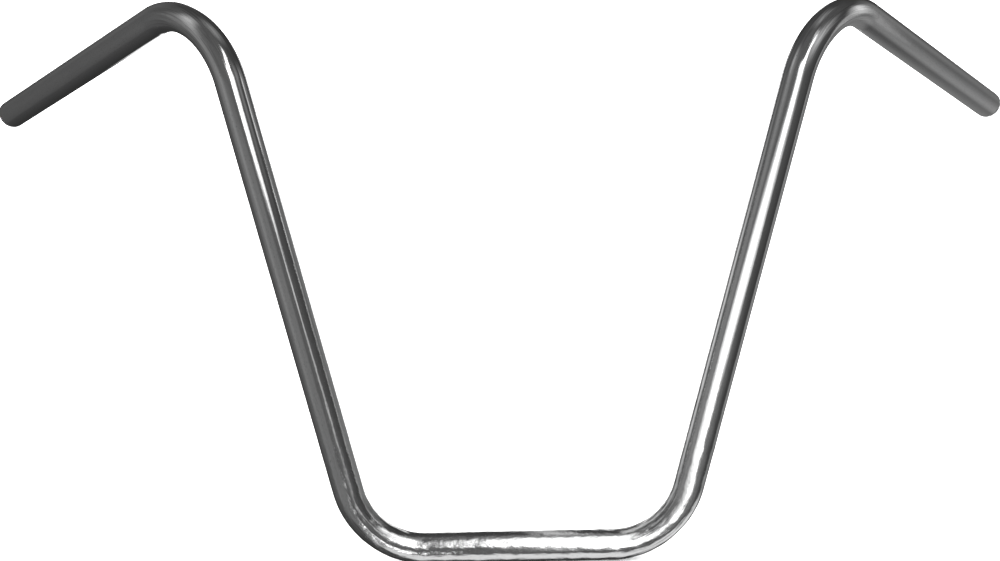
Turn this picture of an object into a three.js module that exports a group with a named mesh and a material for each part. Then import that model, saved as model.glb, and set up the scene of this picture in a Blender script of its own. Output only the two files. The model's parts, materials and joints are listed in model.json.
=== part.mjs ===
import * as THREE from "three";

// Tall motorcycle handlebar: one steel tube bent four times, with a domed plug in each open end.
// Each plug's spigot carries two rubber rings that grip the tube's bore.
// Millimetres. The origin is on the tube's centreline, in the middle of the base that the risers clamp.
// +X is the rider's left, +Y points back towards the rider, +Z is up.

// The tube.
const TUBE_RADIUS = 12.7; // 1 inch bar
const BORE_RADIUS = 10.3; // 2.4 mm wall
const BASE_HALF_WIDTH = 129; // middle of the base to a lower corner point
const RISE = 457.2; // base to the upper corner points, 18 inches
const LEAN = THREE.MathUtils.degToRad(14); // uprights, outwards from vertical
const HAND_LENGTH = 334; // upper corner point to the cut end of the tube
const HAND_SWEEP = THREE.MathUtils.degToRad(44.5); // hand ends, back from the bar's plane
const HAND_DROP = THREE.MathUtils.degToRad(17); // hand ends, down from level
const LOWER_BEND = { radius: 66, flattening: 0.04, steps: 8 };
const UPPER_BEND = { radius: 66, flattening: 0.1, steps: 10 };
const SPREAD_SHARE = 1 / 3; // how much of a bend's flattening comes back as extra width
const STRAIGHT_STEPS = 2;
const CIRCLE_SIDES = 32;

// An end plug, measured along its own axis outwards from the tube's cut end.
const PLUG_HEAD_RADIUS = 12.6;
const PLUG_SEAT_GAP = 0.3; // between the cut end and the head
const PLUG_RIM_END = 1.6; // where the head's straight rim turns into its dome
const PLUG_HEAD_END = 6;
const PLUG_FLAT_RADIUS = 4; // small flat in the middle of the dome
const DOME_STEPS = 6;
const SPIGOT_RADIUS = 9.7;
const SPIGOT_END = -22;
const SPIGOT_CHAMFER = 1;
const GROOVE_CENTRES = { inner_ring: -15, outer_ring: -6 };
const GROOVE_HALF_WIDTH = 1.2;
const GROOVE_RADIUS = 8;

// A rubber ring, which sits in a groove with a little room all round.
const RING_SECTION_RADIUS = 1;
const RING_RADIUS = 9.1;
const RING_SIDES = 24; // round the ring
const RING_SECTION_SIDES = 8; // round its section

const chrome = new THREE.MeshStandardMaterial({ color: 0xd4d7db, roughness: 0.12, metalness: 1 });
const plugChrome = new THREE.MeshStandardMaterial({ color: 0xc4c7cb, roughness: 0.2, metalness: 1 });
const rubber = new THREE.MeshStandardMaterial({ color: 0x1c1c1d, roughness: 0.8, metalness: 0 });

const UP_THE_TUBE = new THREE.Vector3(0, 1, 0); // axis that a lathed piece is turned about

// The centreline's corner points on one side, side being +1 or -1, and where its hand end points.
function sideOf(side) {
  const lower = new THREE.Vector3(side * BASE_HALF_WIDTH, 0, 0);
  const upper = new THREE.Vector3(side * (BASE_HALF_WIDTH + RISE * Math.tan(LEAN)), 0, RISE);
  const level = Math.cos(HAND_DROP);
  const outwards = new THREE.Vector3(
    side * level * Math.cos(HAND_SWEEP),
    level * Math.sin(HAND_SWEEP),
    -Math.sin(HAND_DROP),
  );
  const end = upper.clone().addScaledVector(outwards, HAND_LENGTH);
  return { lower, upper, outwards, end };
}

// The arc that rounds a corner, as a centre, two unit vectors in its plane and the angle it turns.
function bendAt(before, corner, after, { radius, flattening, steps }) {
  const back = before.clone().sub(corner).normalize();
  const onward = after.clone().sub(corner).normalize();
  const turn = Math.PI - back.angleTo(onward);
  const setback = radius * Math.tan(turn / 2);
  const middle = back.clone().add(onward).normalize();
  const centre = corner.clone().addScaledVector(middle, radius / Math.cos(turn / 2));
  const start = corner.clone().addScaledVector(back, setback);
  const end = corner.clone().addScaledVector(onward, setback);
  const out = start.clone().sub(centre).normalize();
  const along = back.clone().negate();
  const axis = out.clone().cross(along);
  return { centre, out, along, axis, start, end, turn, radius, flattening, steps };
}

// A stretch of the centreline: where a share of it lies, and which way it runs there.
function straight(from, to) {
  return {
    steps: STRAIGHT_STEPS,
    point: (share) => from.clone().lerp(to, share),
    tangent: () => to.clone().sub(from).normalize(),
  };
}

function arc({ centre, out, along, turn, radius, steps }) {
  const mix = (a, b) => out.clone().multiplyScalar(a).addScaledVector(along, b);
  return {
    steps,
    point: (share) =>
      mix(Math.cos(turn * share), Math.sin(turn * share)).multiplyScalar(radius).add(centre),
    tangent: (share) => mix(-Math.sin(turn * share), Math.cos(turn * share)),
  };
}

// The whole centreline. Each stretch takes its own number of equal steps, so the rings are close in the
// bends and far apart on the straights.
class Centreline extends THREE.Curve {
  constructor(stretches) {
    super();
    this.stretches = stretches;
    this.steps = stretches.reduce((sum, stretch) => sum + stretch.steps, 0);
  }

  locate(t) {
    let step = t * this.steps;
    const last = this.stretches.at(-1);
    for (const stretch of this.stretches) {
      if (step <= stretch.steps || stretch === last)
        return { stretch, share: Math.min(step / stretch.steps, 1) };
      step -= stretch.steps;
    }
  }

  getPoint(t) {
    const { stretch, share } = this.locate(t);
    return stretch.point(share);
  }

  getTangent(t) {
    const { stretch, share } = this.locate(t);
    return stretch.tangent(share);
  }

  getUtoTmapping(u) {
    return u;
  }
}

// Presses the tube slightly oval where it was bent: narrower in the bend's plane, wider across it.
function flatten(geometry, bends) {
  const position = geometry.getAttribute("position");
  const offset = new THREE.Vector3();
  for (let i = 0; i < position.count; i++) {
    for (const bend of bends) {
      offset.fromBufferAttribute(position, i).sub(bend.centre);
      const across = offset.dot(bend.axis);
      const x = offset.dot(bend.out);
      const y = offset.dot(bend.along);
      const angle = Math.atan2(y, x);
      const depth = Math.hypot(x, y) - bend.radius;
      const onTube = Math.hypot(across, depth) < 1.01 * TUBE_RADIUS;
      if (!onTube || angle <= 0 || angle >= bend.turn) continue;
      const amount = bend.flattening * Math.sin((Math.PI * angle) / bend.turn);
      const reach = bend.radius + depth * (1 - amount);
      offset
        .copy(bend.centre)
        .addScaledVector(bend.out, reach * Math.cos(angle))
        .addScaledVector(bend.along, reach * Math.sin(angle))
        .addScaledVector(bend.axis, across * (1 + amount * SPREAD_SHARE));
      position.setXYZ(i, offset.x, offset.y, offset.z);
    }
  }
}

function tubeGeometry(right, left) {
  const bends = [
    bendAt(right.end, right.upper, right.lower, UPPER_BEND),
    bendAt(right.upper, right.lower, left.lower, LOWER_BEND),
    bendAt(right.lower, left.lower, left.upper, LOWER_BEND),
    bendAt(left.lower, left.upper, left.end, UPPER_BEND),
  ];
  const stretches = [];
  let from = right.end;
  for (const bend of bends) {
    stretches.push(straight(from, bend.start), arc(bend));
    from = bend.end;
  }
  stretches.push(straight(from, left.end));
  const path = new Centreline(stretches);

  const wall = new THREE.Shape().absarc(0, 0, TUBE_RADIUS, 0, 2 * Math.PI);
  wall.holes.push(new THREE.Path().absarc(0, 0, BORE_RADIUS, 0, 2 * Math.PI));
  const geometry = new THREE.ExtrudeGeometry(wall, {
    steps: path.steps,
    curveSegments: CIRCLE_SIDES / 2,
    extrudePath: path,
  });
  flatten(geometry, bends);
  return geometry;
}

function plugGeometry() {
  const profile = [
    [0, SPIGOT_END],
    [SPIGOT_RADIUS - SPIGOT_CHAMFER, SPIGOT_END],
    [SPIGOT_RADIUS, SPIGOT_END + SPIGOT_CHAMFER],
  ];
  for (const centre of Object.values(GROOVE_CENTRES)) {
    profile.push(
      [SPIGOT_RADIUS, centre - GROOVE_HALF_WIDTH],
      [GROOVE_RADIUS, centre - GROOVE_HALF_WIDTH],
      [GROOVE_RADIUS, centre + GROOVE_HALF_WIDTH],
      [SPIGOT_RADIUS, centre + GROOVE_HALF_WIDTH],
    );
  }
  profile.push([SPIGOT_RADIUS, PLUG_SEAT_GAP], [PLUG_HEAD_RADIUS, PLUG_SEAT_GAP]);
  const domeHeight = PLUG_HEAD_END - PLUG_RIM_END;
  for (let i = 0; i <= DOME_STEPS; i++) {
    const angle = ((Math.PI / 2) * i) / DOME_STEPS;
    const reach = PLUG_FLAT_RADIUS + (PLUG_HEAD_RADIUS - PLUG_FLAT_RADIUS) * Math.cos(angle);
    profile.push([reach, PLUG_RIM_END + domeHeight * Math.sin(angle)]);
  }
  profile.push([0, PLUG_HEAD_END]);
  return new THREE.LatheGeometry(profile.map(([r, y]) => new THREE.Vector2(r, y)), CIRCLE_SIDES);
}

function ringGeometry(centre) {
  const ring = new THREE.TorusGeometry(
    RING_RADIUS,
    RING_SECTION_RADIUS,
    RING_SECTION_SIDES,
    RING_SIDES,
  );
  return ring.rotateX(Math.PI / 2).translate(0, centre, 0);
}

function named(name, geometry, material) {
  const mesh = new THREE.Mesh(geometry, material);
  mesh.name = name;
  return mesh;
}

// A plug and its two rings, turned to point out of one end of the tube.
function pluggedEnd(name, { end, outwards }) {
  const group = new THREE.Group();
  group.add(named(`${name}_end_plug`, plugGeometry(), plugChrome));
  for (const [ring, centre] of Object.entries(GROOVE_CENTRES))
    group.add(named(`${name}_plug_${ring}`, ringGeometry(centre), rubber));
  group.quaternion.setFromUnitVectors(UP_THE_TUBE, outwards);
  group.position.copy(end);
  return group;
}

const right = sideOf(-1);
const left = sideOf(1);
const handlebar = new THREE.Group();
handlebar.add(named("bar_tube", tubeGeometry(right, left), chrome));
handlebar.add(pluggedEnd("right", right), pluggedEnd("left", left));

export default handlebar;
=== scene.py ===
import json
import math

import bpy
import numpy as np
from mathutils import Matrix, Quaternion, Vector, noise


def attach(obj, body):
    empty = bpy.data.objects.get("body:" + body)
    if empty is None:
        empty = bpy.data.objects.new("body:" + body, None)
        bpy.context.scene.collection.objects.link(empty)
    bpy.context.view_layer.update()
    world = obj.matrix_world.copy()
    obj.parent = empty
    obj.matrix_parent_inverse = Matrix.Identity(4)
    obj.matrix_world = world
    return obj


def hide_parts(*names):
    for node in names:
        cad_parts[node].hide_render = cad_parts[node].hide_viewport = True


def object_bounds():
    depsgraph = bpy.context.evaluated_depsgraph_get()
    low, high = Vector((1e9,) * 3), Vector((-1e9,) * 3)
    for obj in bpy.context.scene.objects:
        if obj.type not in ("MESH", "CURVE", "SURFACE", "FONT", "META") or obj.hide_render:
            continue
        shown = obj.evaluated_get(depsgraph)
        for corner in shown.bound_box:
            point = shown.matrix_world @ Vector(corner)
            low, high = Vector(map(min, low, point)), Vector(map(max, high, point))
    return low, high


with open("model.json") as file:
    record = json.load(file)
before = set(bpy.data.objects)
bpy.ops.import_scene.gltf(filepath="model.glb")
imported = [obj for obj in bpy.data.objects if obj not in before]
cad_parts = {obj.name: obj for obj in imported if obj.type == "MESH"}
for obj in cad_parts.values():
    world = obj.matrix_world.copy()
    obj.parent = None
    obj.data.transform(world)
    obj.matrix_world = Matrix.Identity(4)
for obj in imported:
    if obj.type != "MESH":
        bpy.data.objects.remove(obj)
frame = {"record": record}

# Looks for a tall chromed motorcycle handlebar: one tube bent four times, with a domed plug in each end
# and two rubber rings round each plug's spigot.
# Metres, in the CAD model's frame. The origin is on the tube's centreline in the middle of its base,
# +X is the rider's left, +Y points back towards the rider and +Z is up.

MM = 0.001
CAD_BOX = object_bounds()

# The photo's camera, as fitted to the bar's outline.
CAMERA_PLACE = (-0.0487, -1.042, 0.3751)
CAMERA_HEADING = -1.88  # degrees: from +Y, then from level, then about the line of sight
CAMERA_TILT = -8.22
CAMERA_ROLL = -0.56
CAMERA_SENSOR_MM = 36
CAMERA_LENS_MM = 46.8

# The tube, with the CAD model's own driving sizes.
TUBE_RADIUS = 12.7 * MM
BORE_RADIUS = 10.3 * MM
CUT_EDGE_ROUND = 0.5 * MM
BORE_EDGE_ROUND = 0.3 * MM
EDGE_STEPS = 4
BASE_HALF_WIDTH = 129 * MM
LOWER_BEND = {"radius": 66 * MM, "flattening": 0.04}
UPPER_BEND = {"radius": 66 * MM, "flattening": 0.1}
SPREAD_SHARE = 1 / 3  # how much of a bend's flattening comes back as extra width
TUBE_SIDES = 96
OUTER_STEP = {"straight": 2.6 * MM, "bend": 1.8 * MM}
BORE_STEP = {"straight": 14 * MM, "bend": 6 * MM}

# How far the tube's outside is off the true round. Each kind comes in patches of a width and a length, and
# starts some patches along the noise, to keep it unlike the others.
RIPPLES = {"width": 9 * MM, "length": 40 * MM, "start": 0}
RIPPLE_HEIGHT = 0.03 * MM
DENTS = {"width": 4.5 * MM, "length": 8 * MM, "start": 40}
DENT_HEIGHT = 0.015 * MM
CLAMPED_DENT_HEIGHT = 0.22 * MM  # on top of that, where clamps have gripped the tube
CLAMPED_TO, UNCLAMPED_FROM = 100 * MM, 300 * MM  # from the middle; it fades out between the two
FURROWS = {"width": 3.5 * MM, "length": 30 * MM, "start": 80}
FURROW_HEIGHT = 0.25 * MM

# A plug, measured along its own axis outwards from the tube's cut end.
PLUG_HEAD_RADIUS = 12.6 * MM
PLUG_SEAT_GAP = 0.3 * MM
PLUG_RIM_END = 1.6 * MM
PLUG_HEAD_END = 6 * MM
PLUG_FLAT_RADIUS = 4 * MM
PLUG_EDGE_ROUND = 0.25 * MM
CORNER_STEPS = 3
RIM_CORNER_STEPS = 4
DOME_STEPS = 24
SPIGOT_RADIUS = 9.7 * MM
SPIGOT_END = -22 * MM
SPIGOT_CHAMFER = 1 * MM
GROOVE_CENTRES = {"inner_ring": -15 * MM, "outer_ring": -6 * MM}
GROOVE_HALF_WIDTH = 1.2 * MM
GROOVE_RADIUS = 8 * MM
PLUG_SIDES = 96

# A rubber ring.
RING_SECTION_RADIUS = 1 * MM
RING_RADIUS = 9.1 * MM
RING_SIDES = 96
RING_SECTION_SIDES = 32
FLASH_HEIGHT = 0.05 * MM  # the thin line that a moulded ring keeps where its mould parts
FLASH_SHARPNESS = 40

# Wear on the chrome: in full up to the first distance from the tube's middle, least from the second on.
SCUFFED_TO_MM, UNSCUFFED_FROM_MM = 90, 320
PITS_PER_MM = 0.28

# The studio.
FLOOR_REACH = 6.0
FLOOR_COLOUR = (0.9, 0.9, 0.9, 1)
WHITE = (1, 1, 1, 1)
BACKDROP_STRENGTH = 2.5
ROOM_STRENGTH = 0.095  # what the chrome reflects where no lamp is
ROOM_SLOPE = (-0.03, -0.055, 0.02)  # how much that grows towards +X, +Y and +Z
ROOM_DARKEST = 0.01
NARROWEST_FADE = 1e-4  # of a lamp's size, since a fade needs some width


# ---------------------------------------------------------------- the camera

def add_camera():
    camera = bpy.data.cameras.new("camera")
    camera.sensor_width = CAMERA_SENSOR_MM
    camera.lens = CAMERA_LENS_MM
    holder = bpy.data.objects.new("camera", camera)
    place = Matrix.Translation(CAMERA_PLACE)
    heading = Matrix.Rotation(math.radians(CAMERA_HEADING), 4, "Z")
    tilt = Matrix.Rotation(math.radians(90 + CAMERA_TILT), 4, "X")
    roll = Matrix.Rotation(math.radians(CAMERA_ROLL), 4, "Z")
    holder.matrix_world = place @ heading @ tilt @ roll
    bpy.context.scene.collection.objects.link(holder)
    bpy.context.scene.camera = holder


# ---------------------------------------------------------------- mesh helpers

def mesh_object(name, points, faces, unbent, worked=None):
    """A smooth mesh. unbent is where each point lies on the straight, unturned piece, and worked says how
    much the metal there was bent. The materials read both, unbent in millimetres."""
    mesh = bpy.data.meshes.new(name)
    mesh.from_pydata([tuple(p) for p in points], [], faces)
    mesh.validate()
    mesh.shade_smooth()
    layer = mesh.attributes.new("unbent", "FLOAT_VECTOR", "POINT")
    layer.data.foreach_set("vector", (np.asarray(unbent, np.float32) / MM).ravel())
    layer = mesh.attributes.new("worked", "FLOAT", "POINT")
    layer.data.foreach_set("value", np.zeros(len(points), np.float32) if worked is None else worked)
    piece = bpy.data.objects.new(name, mesh)
    bpy.context.scene.collection.objects.link(piece)
    return piece


def ring_faces(rings, sides, closed, clockwise=False):
    """Four-sided faces between rings of points, and back to the first ring if closed. They face outwards
    when clockwise tells truly which way round each ring runs, seen from the next one."""
    faces = []
    for i in range(rings if closed else rings - 1):
        a, b = i * sides, (i + 1) % rings * sides
        for j in range(sides):
            k = (j + 1) % sides
            face = (a + j, a + k, b + k, b + j)
            faces.append(face[::-1] if clockwise else face)
    return faces


# ---------------------------------------------------------------- the tube

class Bend:
    """An arc that rounds a corner of the centreline."""

    def __init__(self, before, corner, after, radius, flattening):
        back, onward = (before - corner).normalized(), (after - corner).normalized()
        self.turn = math.pi - back.angle(onward)
        setback = radius * math.tan(self.turn / 2)
        self.start, self.end = corner + back * setback, corner + onward * setback
        self.centre = corner + (back + onward).normalized() * radius / math.cos(self.turn / 2)
        self.out = (self.start - self.centre).normalized()
        self.axis = self.out.cross(-back)
        self.radius, self.flattening = radius, flattening
        self.length = radius * self.turn


class Section:
    """One cross-section of the tube: its centre, its two directions, and how a bend presses it oval."""

    def __init__(self, centre, turned, bend=None, share=0.0):
        self.centre = centre
        self.up, self.back = turned @ Vector((0, 0, 1)), turned @ Vector((0, 1, 0))
        self.worked = math.sin(math.pi * share) if bend else 0.0
        self.flattening = bend.flattening * self.worked if bend else 0.0
        self.depth = Quaternion(bend.axis, share * bend.turn) @ bend.out if bend else Vector()
        self.across = bend.axis.copy() if bend else Vector()

    def mirrored(self):
        for vector in (self.centre, self.up, self.back, self.depth, self.across):
            vector.x = -vector.x
        return self


class Centreline:
    """The tube's centreline from the middle of the base (0) to the left cut end (length), and its mirror
    image on the right at negative distances."""

    def __init__(self):
        left_end = next(m for m in frame["record"]["mounts"] if m["name"] == "left_bar_end")
        self.outwards = Vector(left_end["axis"]).normalized()
        self.end = Vector(left_end["pos_m"]) - self.outwards * PLUG_HEAD_END
        middle, lower = Vector((0, 0, 0)), Vector((BASE_HALF_WIDTH, 0, 0))
        upper = self.end - self.outwards * (self.end.y / self.outwards.y)  # where y is 0
        bends = [Bend(middle, lower, upper, **LOWER_BEND), Bend(lower, upper, self.end, **UPPER_BEND)]
        self.stretches = []
        at, turned, reached = middle, Quaternion(), 0.0
        for bend in bends:
            self.stretches.append((reached, at, turned, None))
            reached += (bend.start - at).length
            self.stretches.append((reached, bend.start, turned, bend))
            reached += bend.length
            at, turned = bend.end, Quaternion(bend.axis, bend.turn) @ turned
        self.stretches.append((reached, at, turned, None))
        self.length = reached + (self.end - at).length

    def section(self, distance):
        if distance < 0:
            return self.section(-distance).mirrored()
        begins, at, turned, bend = [s for s in self.stretches if s[0] <= distance][-1]
        if bend is None:
            return Section(at + turned @ Vector((distance - begins, 0, 0)), turned)
        share = (distance - begins) / bend.length
        swing = Quaternion(bend.axis, share * bend.turn)
        return Section(bend.centre + swing @ bend.out * bend.radius, swing @ turned, bend, share)

    def distances(self, step, margin):
        """Where rings go on both sides, ending margin short of the cut ends."""
        ends = [s[0] for s in self.stretches[1:]] + [self.length - margin]
        half = [0.0]
        for end, (begins, _, _, bend) in zip(ends, self.stretches):
            count = math.ceil((end - begins) / step["bend" if bend else "straight"])
            half.extend(begins + (end - begins) * i / count for i in range(1, count + 1))
        return [-d for d in reversed(half[1:])] + half


def unevenness(unbent, width, length, start):
    """Smooth noise from about -1 to 1, in patches on the unbent tube."""
    return noise.noise(Vector((unbent[0] / width, unbent[1] / width, unbent[2] / length + start)))


def waviness(unbent, worked):
    """How far a point is off the true round: slow ripples everywhere, dents that are deepest near the base,
    where clamps have gripped it, and furrows along the bends."""
    clamped = (UNCLAMPED_FROM - abs(unbent[2])) / (UNCLAMPED_FROM - CLAMPED_TO)
    dent_height = DENT_HEIGHT + CLAMPED_DENT_HEIGHT * max(0.0, min(1.0, clamped))
    return (RIPPLE_HEIGHT * unevenness(unbent, **RIPPLES)
            + dent_height * unevenness(unbent, **DENTS)
            + FURROW_HEIGHT * worked * unevenness(unbent, **FURROWS))


def rounded_end(length, side):
    """(distance, radius) of the rings round one cut end, from the outside to the bore."""
    rings = []
    for i in range(1, EDGE_STEPS + 1):
        angle = math.pi / 2 * i / EDGE_STEPS
        rings.append((length - CUT_EDGE_ROUND * (1 - math.sin(angle)),
                      TUBE_RADIUS - CUT_EDGE_ROUND * (1 - math.cos(angle))))
    for i in range(EDGE_STEPS):
        angle = math.pi / 2 * i / EDGE_STEPS
        rings.append((length - BORE_EDGE_ROUND * (1 - math.cos(angle)),
                      BORE_RADIUS + BORE_EDGE_ROUND * (1 - math.sin(angle))))
    return [(side * distance, radius) for distance, radius in rings]


def make_tube(line):
    outer = [(d, TUBE_RADIUS) for d in line.distances(OUTER_STEP, CUT_EDGE_ROUND)]
    bore = [(d, BORE_RADIUS) for d in line.distances(BORE_STEP, BORE_EDGE_ROUND)]
    rings = outer + rounded_end(line.length, 1) + bore[::-1] + rounded_end(line.length, -1)[::-1]
    points, unbent, worked = [], [], []
    for distance, radius in rings:
        section = line.section(distance)
        for j in range(TUBE_SIDES):
            angle = 2 * math.pi * j / TUBE_SIDES
            straight = (radius * math.cos(angle), radius * math.sin(angle), distance)
            reach = radius + (waviness(straight, section.worked) if radius == TUBE_RADIUS else 0)
            offset = (section.up * math.cos(angle) + section.back * math.sin(angle)) * reach
            offset += section.across * (offset.dot(section.across) * section.flattening * SPREAD_SHARE)
            offset -= section.depth * (offset.dot(section.depth) * section.flattening)
            points.append(section.centre + offset)
            unbent.append(straight)
            worked.append(section.worked)
    faces = ring_faces(len(rings), TUBE_SIDES, closed=True, clockwise=True)
    return mesh_object("handlebar_tube", points, faces, unbent, worked)


# ---------------------------------------------------------------- plugs and rings

def corner_arc(centre, radius, start, end, steps=CORNER_STEPS):
    """Points (radius, height) of a profile's rounded corner, from start to end in degrees, where 0 is
    outwards and 90 is up."""
    angles = [math.radians(start + (end - start) * i / steps) for i in range(steps + 1)]
    return [(centre[0] + radius * math.cos(a), centre[1] + radius * math.sin(a)) for a in angles]


def plug_profile():
    """(radius, height) from the spigot's inner end, up its side and over the head to the dome's middle."""
    small = PLUG_EDGE_ROUND
    profile = [
        (0, SPIGOT_END),
        (SPIGOT_RADIUS - SPIGOT_CHAMFER - small, SPIGOT_END),
        (SPIGOT_RADIUS - SPIGOT_CHAMFER, SPIGOT_END + small / 3),
        (SPIGOT_RADIUS, SPIGOT_END + SPIGOT_CHAMFER),
        (SPIGOT_RADIUS, SPIGOT_END + 1.2 * SPIGOT_CHAMFER),
    ]
    for middle in GROOVE_CENTRES.values():
        low, high = middle - GROOVE_HALF_WIDTH, middle + GROOVE_HALF_WIDTH
        profile += corner_arc((SPIGOT_RADIUS - small, low - small), small, 0, 90)
        profile += corner_arc((GROOVE_RADIUS + small, low + small), small, 270, 180)
        profile += corner_arc((GROOVE_RADIUS + small, high - small), small, 180, 90)
        profile += corner_arc((SPIGOT_RADIUS - small, high + small), small, 270, 360)
    profile += corner_arc((SPIGOT_RADIUS + small, PLUG_SEAT_GAP - small), small, 180, 90)
    rim_corner = (PLUG_HEAD_RADIUS - small, PLUG_SEAT_GAP + small)
    profile += corner_arc(rim_corner, small, 270, 360, steps=RIM_CORNER_STEPS)
    profile += [(PLUG_HEAD_RADIUS, PLUG_RIM_END * 0.6)]  # part way up the rim, to keep its shading straight
    dome_height, dome_reach = PLUG_HEAD_END - PLUG_RIM_END, PLUG_HEAD_RADIUS - PLUG_FLAT_RADIUS
    for i in range(DOME_STEPS + 1):
        angle = math.pi / 2 * i / DOME_STEPS
        profile.append((PLUG_FLAT_RADIUS + dome_reach * math.cos(angle),
                        PLUG_RIM_END + dome_height * math.sin(angle)))
    return profile + [(PLUG_FLAT_RADIUS * 0.5, PLUG_HEAD_END), (0, PLUG_HEAD_END)]


def lathed(name, profile, place):
    """Turns a profile that starts and ends on the axis into a closed piece, then puts it in place."""
    body = profile[1:-1]
    angles = [2 * math.pi * j / PLUG_SIDES for j in range(PLUG_SIDES)]
    turned = [(r * math.cos(a), r * math.sin(a), h) for r, h in body for a in angles]
    faces = ring_faces(len(body), PLUG_SIDES, closed=False)
    first, last = len(turned), len(turned) + 1
    top = (len(body) - 1) * PLUG_SIDES
    for j in range(PLUG_SIDES):
        k = (j + 1) % PLUG_SIDES
        faces.append((first, k, j))
        faces.append((last, top + j, top + k))
    turned += [(0, 0, profile[0][1]), (0, 0, profile[-1][1])]
    return mesh_object(name, [place @ Vector(p) for p in turned], faces, turned)


def make_ring(name, middle, place):
    """A moulded rubber ring, with the faint line round its widest and narrowest places."""
    turned = []
    for i in range(RING_SIDES):
        around = 2 * math.pi * i / RING_SIDES
        for j in range(RING_SECTION_SIDES):
            angle = 2 * math.pi * j / RING_SECTION_SIDES
            flash = FLASH_HEIGHT * abs(math.cos(angle)) ** FLASH_SHARPNESS
            reach = RING_RADIUS + (RING_SECTION_RADIUS + flash) * math.cos(angle)
            height = middle + RING_SECTION_RADIUS * math.sin(angle)
            turned.append((reach * math.cos(around), reach * math.sin(around), height))
    faces = ring_faces(RING_SIDES, RING_SECTION_SIDES, closed=True, clockwise=True)
    return mesh_object(name, [place @ Vector(p) for p in turned], faces, turned)


def make_plugged_end(side, line, materials):
    """The plug and rings of one end, riding on that plug's body."""
    word = "left" if side > 0 else "right"
    end, outwards = line.end.copy(), line.outwards.copy()
    end.x, outwards.x = side * end.x, side * outwards.x
    turned = Vector((0, 0, 1)).rotation_difference(outwards)
    place = Matrix.Translation(end) @ turned.to_matrix().to_4x4()
    plug = lathed(f"{word}_plug_body", plug_profile(), place)
    finish_piece(plug, f"{word}_plug", f"{word}_end_plug", "plug_chrome", materials)
    for ring_name, middle in GROOVE_CENTRES.items():
        ring = make_ring(f"{word}_plug_{ring_name}_seal", middle, place)
        finish_piece(ring, f"{word}_plug", f"{word}_plug_{ring_name}", "ring_rubber", materials)


def finish_piece(piece, body, node, slot, materials):
    piece.data.materials.append(materials[slot])
    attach(piece, body)
    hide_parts(node)


# ---------------------------------------------------------------- materials

class Nodes:
    """A short way of adding nodes: settings by name, inputs by socket name, linked or plain."""

    def __init__(self, owner):
        owner.use_nodes = True
        self.tree = owner.node_tree
        self.tree.nodes.clear()

    def add(self, kind, inputs=None, **settings):
        made = self.tree.nodes.new(kind)
        for key, value in settings.items():
            setattr(made, key, value)
        for key, value in (inputs or {}).items():
            if isinstance(value, bpy.types.NodeSocket):
                self.tree.links.new(value, made.inputs[key])
            else:
                made.inputs[key].default_value = value
        return made

    def math(self, operation, a, b=0.0):
        return self.add("ShaderNodeMath", {0: a, 1: b}, operation=operation).outputs[0]

    def spread(self, value, low, high, to_low, to_high):
        """value's range low..high, turned into to_low..to_high."""
        inputs = {"Value": value, "From Min": low, "From Max": high, "To Min": to_low, "To Max": to_high}
        return self.add("ShaderNodeMapRange", inputs).outputs["Result"]

    def blend(self, share, a, b):
        """Colour a where share is 0, going over into colour b where it is 1."""
        made = self.add("ShaderNodeMix", {"Factor": share, "A": a, "B": b}, data_type="RGBA")
        return made.outputs["Result"]

    def grain(self, places, width, length, detail):
        """Noise on the unbent piece, in patches so many millimetres wide and long."""
        scale = (1 / width, 1 / width, 1 / length)
        stretched = self.add("ShaderNodeVectorMath", {0: places, 1: scale}, operation="MULTIPLY")
        inputs = {"Vector": stretched.outputs[0], "Scale": 1.0, "Detail": detail}
        return self.add("ShaderNodeTexNoise", inputs).outputs[0]

    def bump(self, height, distance, strength=1.0):
        inputs = {"Height": height, "Strength": strength, "Distance": distance}
        return self.add("ShaderNodeBump", inputs).outputs["Normal"]


def grey(value):
    return (value, value, value, 1)


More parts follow.
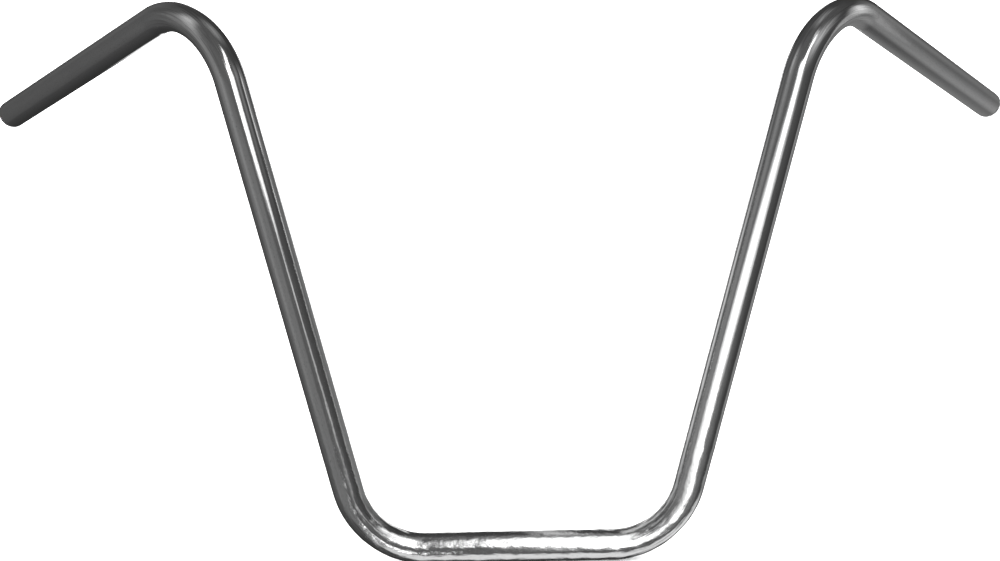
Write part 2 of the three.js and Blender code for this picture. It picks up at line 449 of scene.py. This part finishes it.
def chrome(name, tone, roughness, wear):
    """Chrome plate of one tone: clouded by handling, brushed along the tube, scuffed near the base, streaked
    at the bends and pitted here and there. wear scales the scuffs and streaks."""
    material = bpy.data.materials.new(name)
    n = Nodes(material)
    places = n.add("ShaderNodeAttribute", attribute_name="unbent").outputs["Vector"]
    worked = n.add("ShaderNodeAttribute", attribute_name="worked").outputs["Fac"]
    along = n.math("ABSOLUTE", n.add("ShaderNodeSeparateXYZ", {0: places}).outputs["Z"])
    scuffed = n.spread(along, SCUFFED_TO_MM, UNSCUFFED_FROM_MM, wear, 0.12 * wear)
    clouds = n.grain(places, width=22, length=40, detail=4)
    streaks = n.grain(places, width=1.3, length=30, detail=3)
    scuffs = n.grain(places, width=2.2, length=4.5, detail=3)
    specks = n.grain(places, width=0.9, length=2.2, detail=2)
    cells = n.add("ShaderNodeTexVoronoi", {"Vector": places, "Scale": PITS_PER_MM, "Randomness": 1.0})
    pits = n.spread(cells.outputs["Distance"], 0.05, 0.12, 1.0, 0.0)

    bluish = (tone * 0.94, tone * 0.945, tone * 0.95, 1)
    colour = n.blend(n.spread(clouds, 0.3, 0.7, 0.0, 1.0), bluish, grey(tone))
    streaked = n.math("MULTIPLY", n.spread(streaks, 0.5, 0.6, 0.0, 1.0),
                      n.spread(worked, 0.2, 0.9, 0.1 * wear, wear))
    dull = n.math("MAXIMUM", streaked, n.spread(specks, 0.5, 0.75, 0.0, 0.5))
    colour = n.blend(dull, colour, grey(tone * 0.7))
    colour = n.blend(pits, colour, grey(tone * 0.4))

    rough = n.spread(clouds, 0.3, 0.7, roughness * 0.8, roughness * 1.25)
    rough = n.math("ADD", rough, n.math("MULTIPLY", scuffed, 0.06))
    rough = n.math("ADD", rough, n.math("MULTIPLY", pits, 0.2))

    streak_depth = n.spread(worked, 0.0, 1.0, 0.03 * wear, 0.12 * wear)
    relief = n.math("MULTIPLY", streaks, streak_depth)
    relief = n.math("ADD", relief, n.math("MULTIPLY", scuffs, n.math("MULTIPLY", scuffed, 0.2)))
    relief = n.math("SUBTRACT", relief, n.math("MULTIPLY", pits, 0.01))
    shader = n.add("ShaderNodeBsdfPrincipled", {
        "Base Color": colour, "Metallic": 1.0, "Roughness": rough, "Normal": n.bump(relief, MM),
    })
    n.add("ShaderNodeOutputMaterial", {"Surface": shader.outputs[0]})
    return material


def rubber(name):
    """Matt black rubber with a fine grain and dust in it."""
    material = bpy.data.materials.new(name)
    n = Nodes(material)
    places = n.add("ShaderNodeAttribute", attribute_name="unbent").outputs["Vector"]
    fine = n.grain(places, width=0.25, length=0.25, detail=4)
    dust = n.grain(places, width=2.5, length=2.5, detail=3)
    black, dusty = (0.018, 0.018, 0.019, 1), (0.045, 0.044, 0.042, 1)
    shader = n.add("ShaderNodeBsdfPrincipled", {
        "Base Color": n.blend(n.spread(dust, 0.4, 0.75, 0, 1), black, dusty),
        "Roughness": n.spread(fine, 0.3, 0.7, 0.7, 0.9),
        "Normal": n.bump(fine, 0.05 * MM, strength=0.6),
    })
    n.add("ShaderNodeOutputMaterial", {"Surface": shader.outputs[0]})
    return material


# ---------------------------------------------------------------- the studio

def add_floor():
    """A pale floor that the base stands on. The chrome's own reflections come from the lights instead."""
    height = CAD_BOX[0].z
    corners = [(x * FLOOR_REACH, y * FLOOR_REACH, height) for x, y in ((-1, -1), (1, -1), (1, 1), (-1, 1))]
    mesh = bpy.data.meshes.new("floor")
    mesh.from_pydata(corners, [], [(0, 1, 2, 3)])
    material = bpy.data.materials.new("floor_paper")
    n = Nodes(material)
    shader = n.add("ShaderNodeBsdfDiffuse", {"Color": FLOOR_COLOUR})
    n.add("ShaderNodeOutputMaterial", {"Surface": shader.outputs[0]})
    mesh.materials.append(material)
    floor = bpy.data.objects.new("floor", mesh)
    floor.visible_glossy = False
    floor.visible_shadow = False
    bpy.context.scene.collection.objects.link(floor)


def add_world():
    """White all round for the picture and the floor, and a dim room for the chrome to reflect: lighter
    overhead, towards the camera and on the rider's right."""
    world = bpy.data.worlds.new("studio")
    bpy.context.scene.world = world
    world.cycles.sampling_method = "NONE"  # the world looks different to each kind of ray
    n = Nodes(world)
    direction = n.add("ShaderNodeTexCoord").outputs["Generated"]
    slope = n.add("ShaderNodeVectorMath", {0: direction, 1: ROOM_SLOPE}, operation="DOT_PRODUCT")
    room = n.math("MAXIMUM", n.math("ADD", slope.outputs["Value"], ROOM_STRENGTH), ROOM_DARKEST)
    white = n.add("ShaderNodeBackground", {"Color": WHITE, "Strength": BACKDROP_STRENGTH})
    dim = n.add("ShaderNodeBackground", {"Color": WHITE, "Strength": room})
    glossy = n.add("ShaderNodeLightPath").outputs["Is Glossy Ray"]
    mixed = n.add("ShaderNodeMixShader", {"Fac": glossy, 1: white.outputs[0], 2: dim.outputs[0]})
    n.add("ShaderNodeOutputWorld", {"Surface": mixed.outputs[0]})


def add_panel(name, centre, target, width, height, radiance, softness, roll=0, spread=180):
    """A soft-edged lamp that faces target and that the camera doesn't see. softness is the share of its half
    size that fades out, roll turns it in its own plane, and spread is the angle it shines into, in degrees.
    Its energy makes it look equally bright whatever its size and spread."""
    lamp = bpy.data.lights.new(name, "AREA")
    lamp.shape = "RECTANGLE"
    lamp.size, lamp.size_y = width, height
    lamp.spread = math.radians(spread)
    half = lamp.spread / 2
    narrowing = 1 if spread == 180 else 1 - half / math.tan(half)
    lamp.energy = 4 * width * height * radiance * narrowing
    n = Nodes(lamp)
    place = n.add("ShaderNodeNewGeometry").outputs["Parametric"]
    axes = n.add("ShaderNodeSeparateXYZ", {0: place})
    fades = []
    for axis in ("X", "Y"):
        from_middle = n.math("ABSOLUTE", n.math("SUBTRACT", axes.outputs[axis], 0.5))
        inputs = {"Value": n.math("SUBTRACT", 0.5, from_middle), "From Max": softness / 2 + NARROWEST_FADE}
        fade = n.add("ShaderNodeMapRange", inputs, interpolation_type="SMOOTHSTEP")
        fades.append(fade.outputs["Result"])
    emission = n.add("ShaderNodeEmission", {"Strength": n.math("MULTIPLY", *fades)})
    n.add("ShaderNodeOutputLight", {"Surface": emission.outputs[0]})
    holder = bpy.data.objects.new(name, lamp)
    holder.location = centre
    holder.rotation_mode = "QUATERNION"
    facing = (Vector(target) - Vector(centre)).to_track_quat("-Z", "Y")
    holder.rotation_quaternion = facing @ Quaternion((0, 0, 1), math.radians(roll))
    holder.visible_camera = False
    bpy.context.scene.collection.objects.link(holder)


# Left and right in a lamp's name are the side of the picture that it lights: right is towards +X, which is
# the rider's left. Each lamp was placed for what it does to the chrome as the photo's camera sees it.

def add_highlights():
    """Lamps mostly close to the bar, which draw the long bright highlights."""
    add_panel("right_strip", (0.15, -0.14, 0.21), (0.18, 0, 0.22), 0.32, 0.56, 2.2, 0.7, roll=-50, spread=80)
    add_panel("left_line", (-0.125, -0.14, 0.26), (-0.18, 0, 0.26), 0.035, 0.42, 0.8, 0.95,
              roll=14, spread=80)
    add_panel("top_window", (0.16, -0.8, 0.56), (0, 0, 0.4), 0.6, 0.6, 1.8, 0.6, spread=120)
    add_panel("over_front", (0.12, -0.2, 0.34), (0.05, 0, 0), 0.46, 0.4, 2, 0.6, roll=-30, spread=100)
    add_panel("low_strip", (0.2, -0.14, -0.49), (0.05, 0, 0), 1.8, 0.55, 0.8, 0.5, roll=15)
    add_panel("low_lamp", (-0.145, -0.46, -0.2), (-0.105, 0, 0), 0.07, 0.3, 5, 0.9, roll=-22, spread=100)
    add_panel("left_bend_window", (0.24, -1.1, 0.95), (-0.1, 0, 0.02), 0.36, 1.7, 3.5, 0.7, roll=-18)
    add_panel("right_bend_lamp", (0.135, -0.34, 0.03), (0.13, 0, 0.02), 0.2, 0.42, 3.5, 0.8,
              roll=30, spread=75)
    add_panel("right_inner_lamp", (0.05, 0.07, 0.18), (0.19, 0, 0.155), 0.1, 0.54, 0.65, 0.9, roll=6)


def add_cards():
    """Wide dim cards further off, which shade the rest."""
    add_panel("front_left_card", (-0.87, -0.99, -0.24), (-0.18, 0, 0.25), 2, 1.5, 0.075, 0.5)
    add_panel("front_right_card", (0.57, -0.8, -0.3), (0, 0, 0.2), 1.6, 0.9, 0.1, 0.9, roll=-30)
    add_panel("left_slit", (-1.45, -0.5, 0.8), (-0.26, 0, 0.8), 1.8, 4, 0.13, 0.9)
    add_panel("left_card", (-1.6, 0.43, 0.14), (-0.35, 0.1, 0.14), 1.4, 2.2, 0.02, 0.3)
    add_panel("right_slit", (1.47, 0.2, 0.5), (0.28, 0, 0.5), 0.25, 2.6, 0.3, 0.9)
    add_panel("right_card", (1.45, 0.45, -0.3), (0.35, 0.1, -0.3), 1.1, 2.2, 0.2, 0.95)
    add_panel("right_top_card", (0.42, -0.25, 0.62), (0.245, 0, 0.44), 0.6, 0.6, 0.5, 0.9, spread=80)
    add_panel("right_bend_card", (0.75, 0.08, 0.56), (0.28, 0.02, 0.43), 0.3, 0.6, 0.55, 0.9, spread=90)
    add_panel("left_bend_card", (-0.53, -0.12, 0.83), (-0.255, 0.005, 0.43), 0.32, 0.85, 0.4, 0.9, spread=90)
    add_panel("right_top_lamp", (0.2, -0.29, 0.5), (0.225, 0, 0.4), 0.2, 0.12, 2, 0.9, spread=70)
    add_panel("back_right_card", (0.9, 1.1, 0), (0.35, 0.1, 0.4), 2.6, 2.4, 0.17, 0.8)
    add_panel("back_left_card", (-1, 0.9, 1), (-0.4, 0.1, 0.4), 1.4, 1.4, 0.04, 0.8)
    add_panel("ceiling", (0.2, 0.15, 1.6), (0, 0, 0.4), 1, 1, 0.2, 0.9)
    add_panel("right_hand_card", (1.28, 0.49, 0.82), (0.38, 0.12, 0.37), 1.2, 1.2, 0.16, 0.9)


def add_rear_lamps():
    """Lamps far behind the bar, for views of its back. From the front they barely touch its edges."""
    for name, side in (("right", 1), ("left", -1)):
        add_panel(f"back_{name}_strip", (side * 0.42, 1.7, 0.3), (side * 0.2, 0, 0.25), 0.34, 2, 1.6, 0.7)
    add_panel("back_window", (0, 1.9, 0.42), (0, 0, 0.2), 1.2, 0.3, 1, 0.9)


# ---------------------------------------------------------------- putting it together

add_camera()
add_floor()
add_world()
add_highlights()
add_cards()
add_rear_lamps()

bpy.context.scene.view_settings.view_transform = "Standard"

materials = {
    "bar_chrome": chrome("bar_chrome_plate", tone=0.64, roughness=0.1, wear=1.0),
    "plug_chrome": chrome("plug_chrome_plate", tone=0.56, roughness=0.2, wear=0.5),
    "ring_rubber": rubber("ring_black_rubber"),
}
centreline = Centreline()
finish_piece(make_tube(centreline), "bar", "bar_tube", "bar_chrome", materials)
for side in (-1, 1):
    make_plugged_end(side, centreline, materials)
